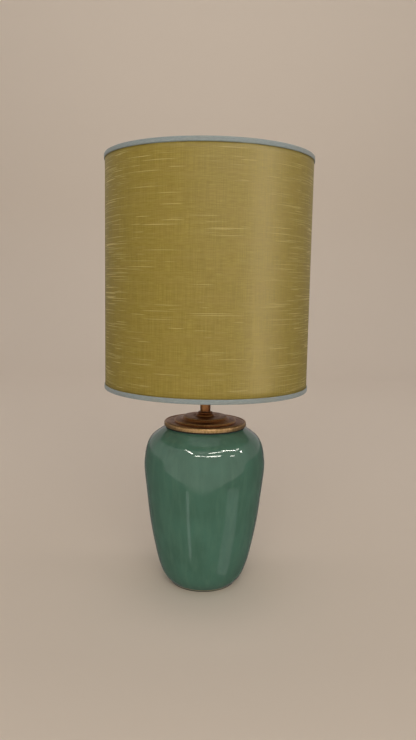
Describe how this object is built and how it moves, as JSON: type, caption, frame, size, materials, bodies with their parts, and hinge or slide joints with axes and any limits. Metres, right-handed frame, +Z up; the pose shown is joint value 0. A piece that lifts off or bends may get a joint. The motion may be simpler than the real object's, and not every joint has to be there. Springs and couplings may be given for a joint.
{
  "type": "table lamp",
  "caption": "Table lamp: glazed ovoid ceramic vase, stepped brass vase cap, switched screw lampholder with bulb, and a straight drum shade in slub silk with bound edges.",
  "frame": {"origin": "on the resting face, under the middle of the foot", "axes": "+Z up along the axis of vase, rod and shade; +Y towards the cord outlet at the back; +X to the right seen from the front"},
  "size_m": [0.2516, 0.2516, 0.531],
  "materials": {
    "glaze": "green glaze, glossy, smooth, over a white stoneware body",
    "aged_brass": "spun and turned brass, aged brown, brighter on the rim",
    "bright_brass": "plain brass, bright",
    "zinc_steel": "zinc-plated steel",
    "rubber": "black rubber",
    "felt": "dark green wool felt",
    "cork": "pressed cork",
    "bakelite": "black moulded thermoset",
    "porcelain": "white unglazed electrical porcelain",
    "clear_glass": "clear blown glass",
    "cap_metal": "rolled aluminium cap",
    "phosphor": "yellow phosphor silicone on the filaments",
    "silk": "olive slub silk, fine plain weave with horizontal slubs, slight sheen",
    "binding_tape": "pale grey-blue woven bias tape",
    "lining": "cream shade card with a smooth face",
    "white_wire": "white-coated steel wire and sheet"
  },
  "bodies": {
    "base": {"felt_pad": "felt", "vase": "glaze", "cord_grommet": "rubber", "foot_rubber_washer": "rubber", "foot_steel_washer": "zinc_steel", "foot_lock_washer": "zinc_steel", "foot_nut": "zinc_steel", "threaded_rod": "zinc_steel", "mouth_disc": "cork", "cap_gasket": "rubber", "vase_cap": "aged_brass", "collar": "aged_brass", "neck_sleeve": "aged_brass", "holder_cap": "bakelite", "grub_screw": "zinc_steel", "terminal_live": "bright_brass", "terminal_neutral": "bright_brass", "terminal_screw_live": "bright_brass", "terminal_screw_neutral": "bright_brass", "switch_housing": "bakelite", "socket_block": "porcelain", "socket_screw_front": "bright_brass", "socket_screw_back": "bright_brass", "centre_contact": "bright_brass", "screw_shell": "bright_brass", "holder_skirt": "bakelite", "rocker_pin": "zinc_steel", "ring_nut_lower": "bakelite", "ring_nut_upper": "bakelite"},
    "switch_bar": {"push_bar": "bright_brass", "push_button_left": "bakelite", "push_button_right": "bakelite"},
    "rocker": {"switch_rocker": "bright_brass"},
    "bulb": {"bulb_contact": "cap_metal", "bulb_insulator": "bakelite", "bulb_cap": "cap_metal", "bulb_glass": "clear_glass", "bulb_stem": "clear_glass", "led_filament_1": "phosphor", "led_filament_2": "phosphor", "led_filament_3": "phosphor", "led_filament_4": "phosphor"},
    "shade": {"carrier_hub": "white_wire", "carrier_arm_1": "white_wire", "carrier_arm_2": "white_wire", "carrier_arm_3": "white_wire", "shade_ring_lower": "white_wire", "shade_ring_upper": "white_wire", "shade_lining": "lining", "shade_cloth": "silk", "binding_lower": "binding_tape", "binding_upper": "binding_tape"}
  },
  "joints": [
    {"name": "shade_turn", "type": "hinge", "parent": "base", "child": "shade", "pos_m": [0, 0, 0.275], "axis": [0, 0, 1], "continuous": true},
    {"name": "bulb_lift", "type": "slide", "parent": "base", "child": "bulb", "axis": [0, 0, 1], "range_m": [0, 0.03]},
    {"name": "switch_push", "type": "slide", "parent": "base", "child": "switch_bar", "axis": [1, 0, 0], "range_m": [0, 0.004]},
    {"name": "rocker_tilt", "type": "hinge", "parent": "base", "child": "rocker", "pos_m": [0, 0, 0.2536], "axis": [0, 1, 0], "range_deg": [0, 50]}
  ],
  "couplings": [
    {"joint": "rocker_tilt", "follows": "switch_push", "rad_per_m": 214.89}
  ]
}
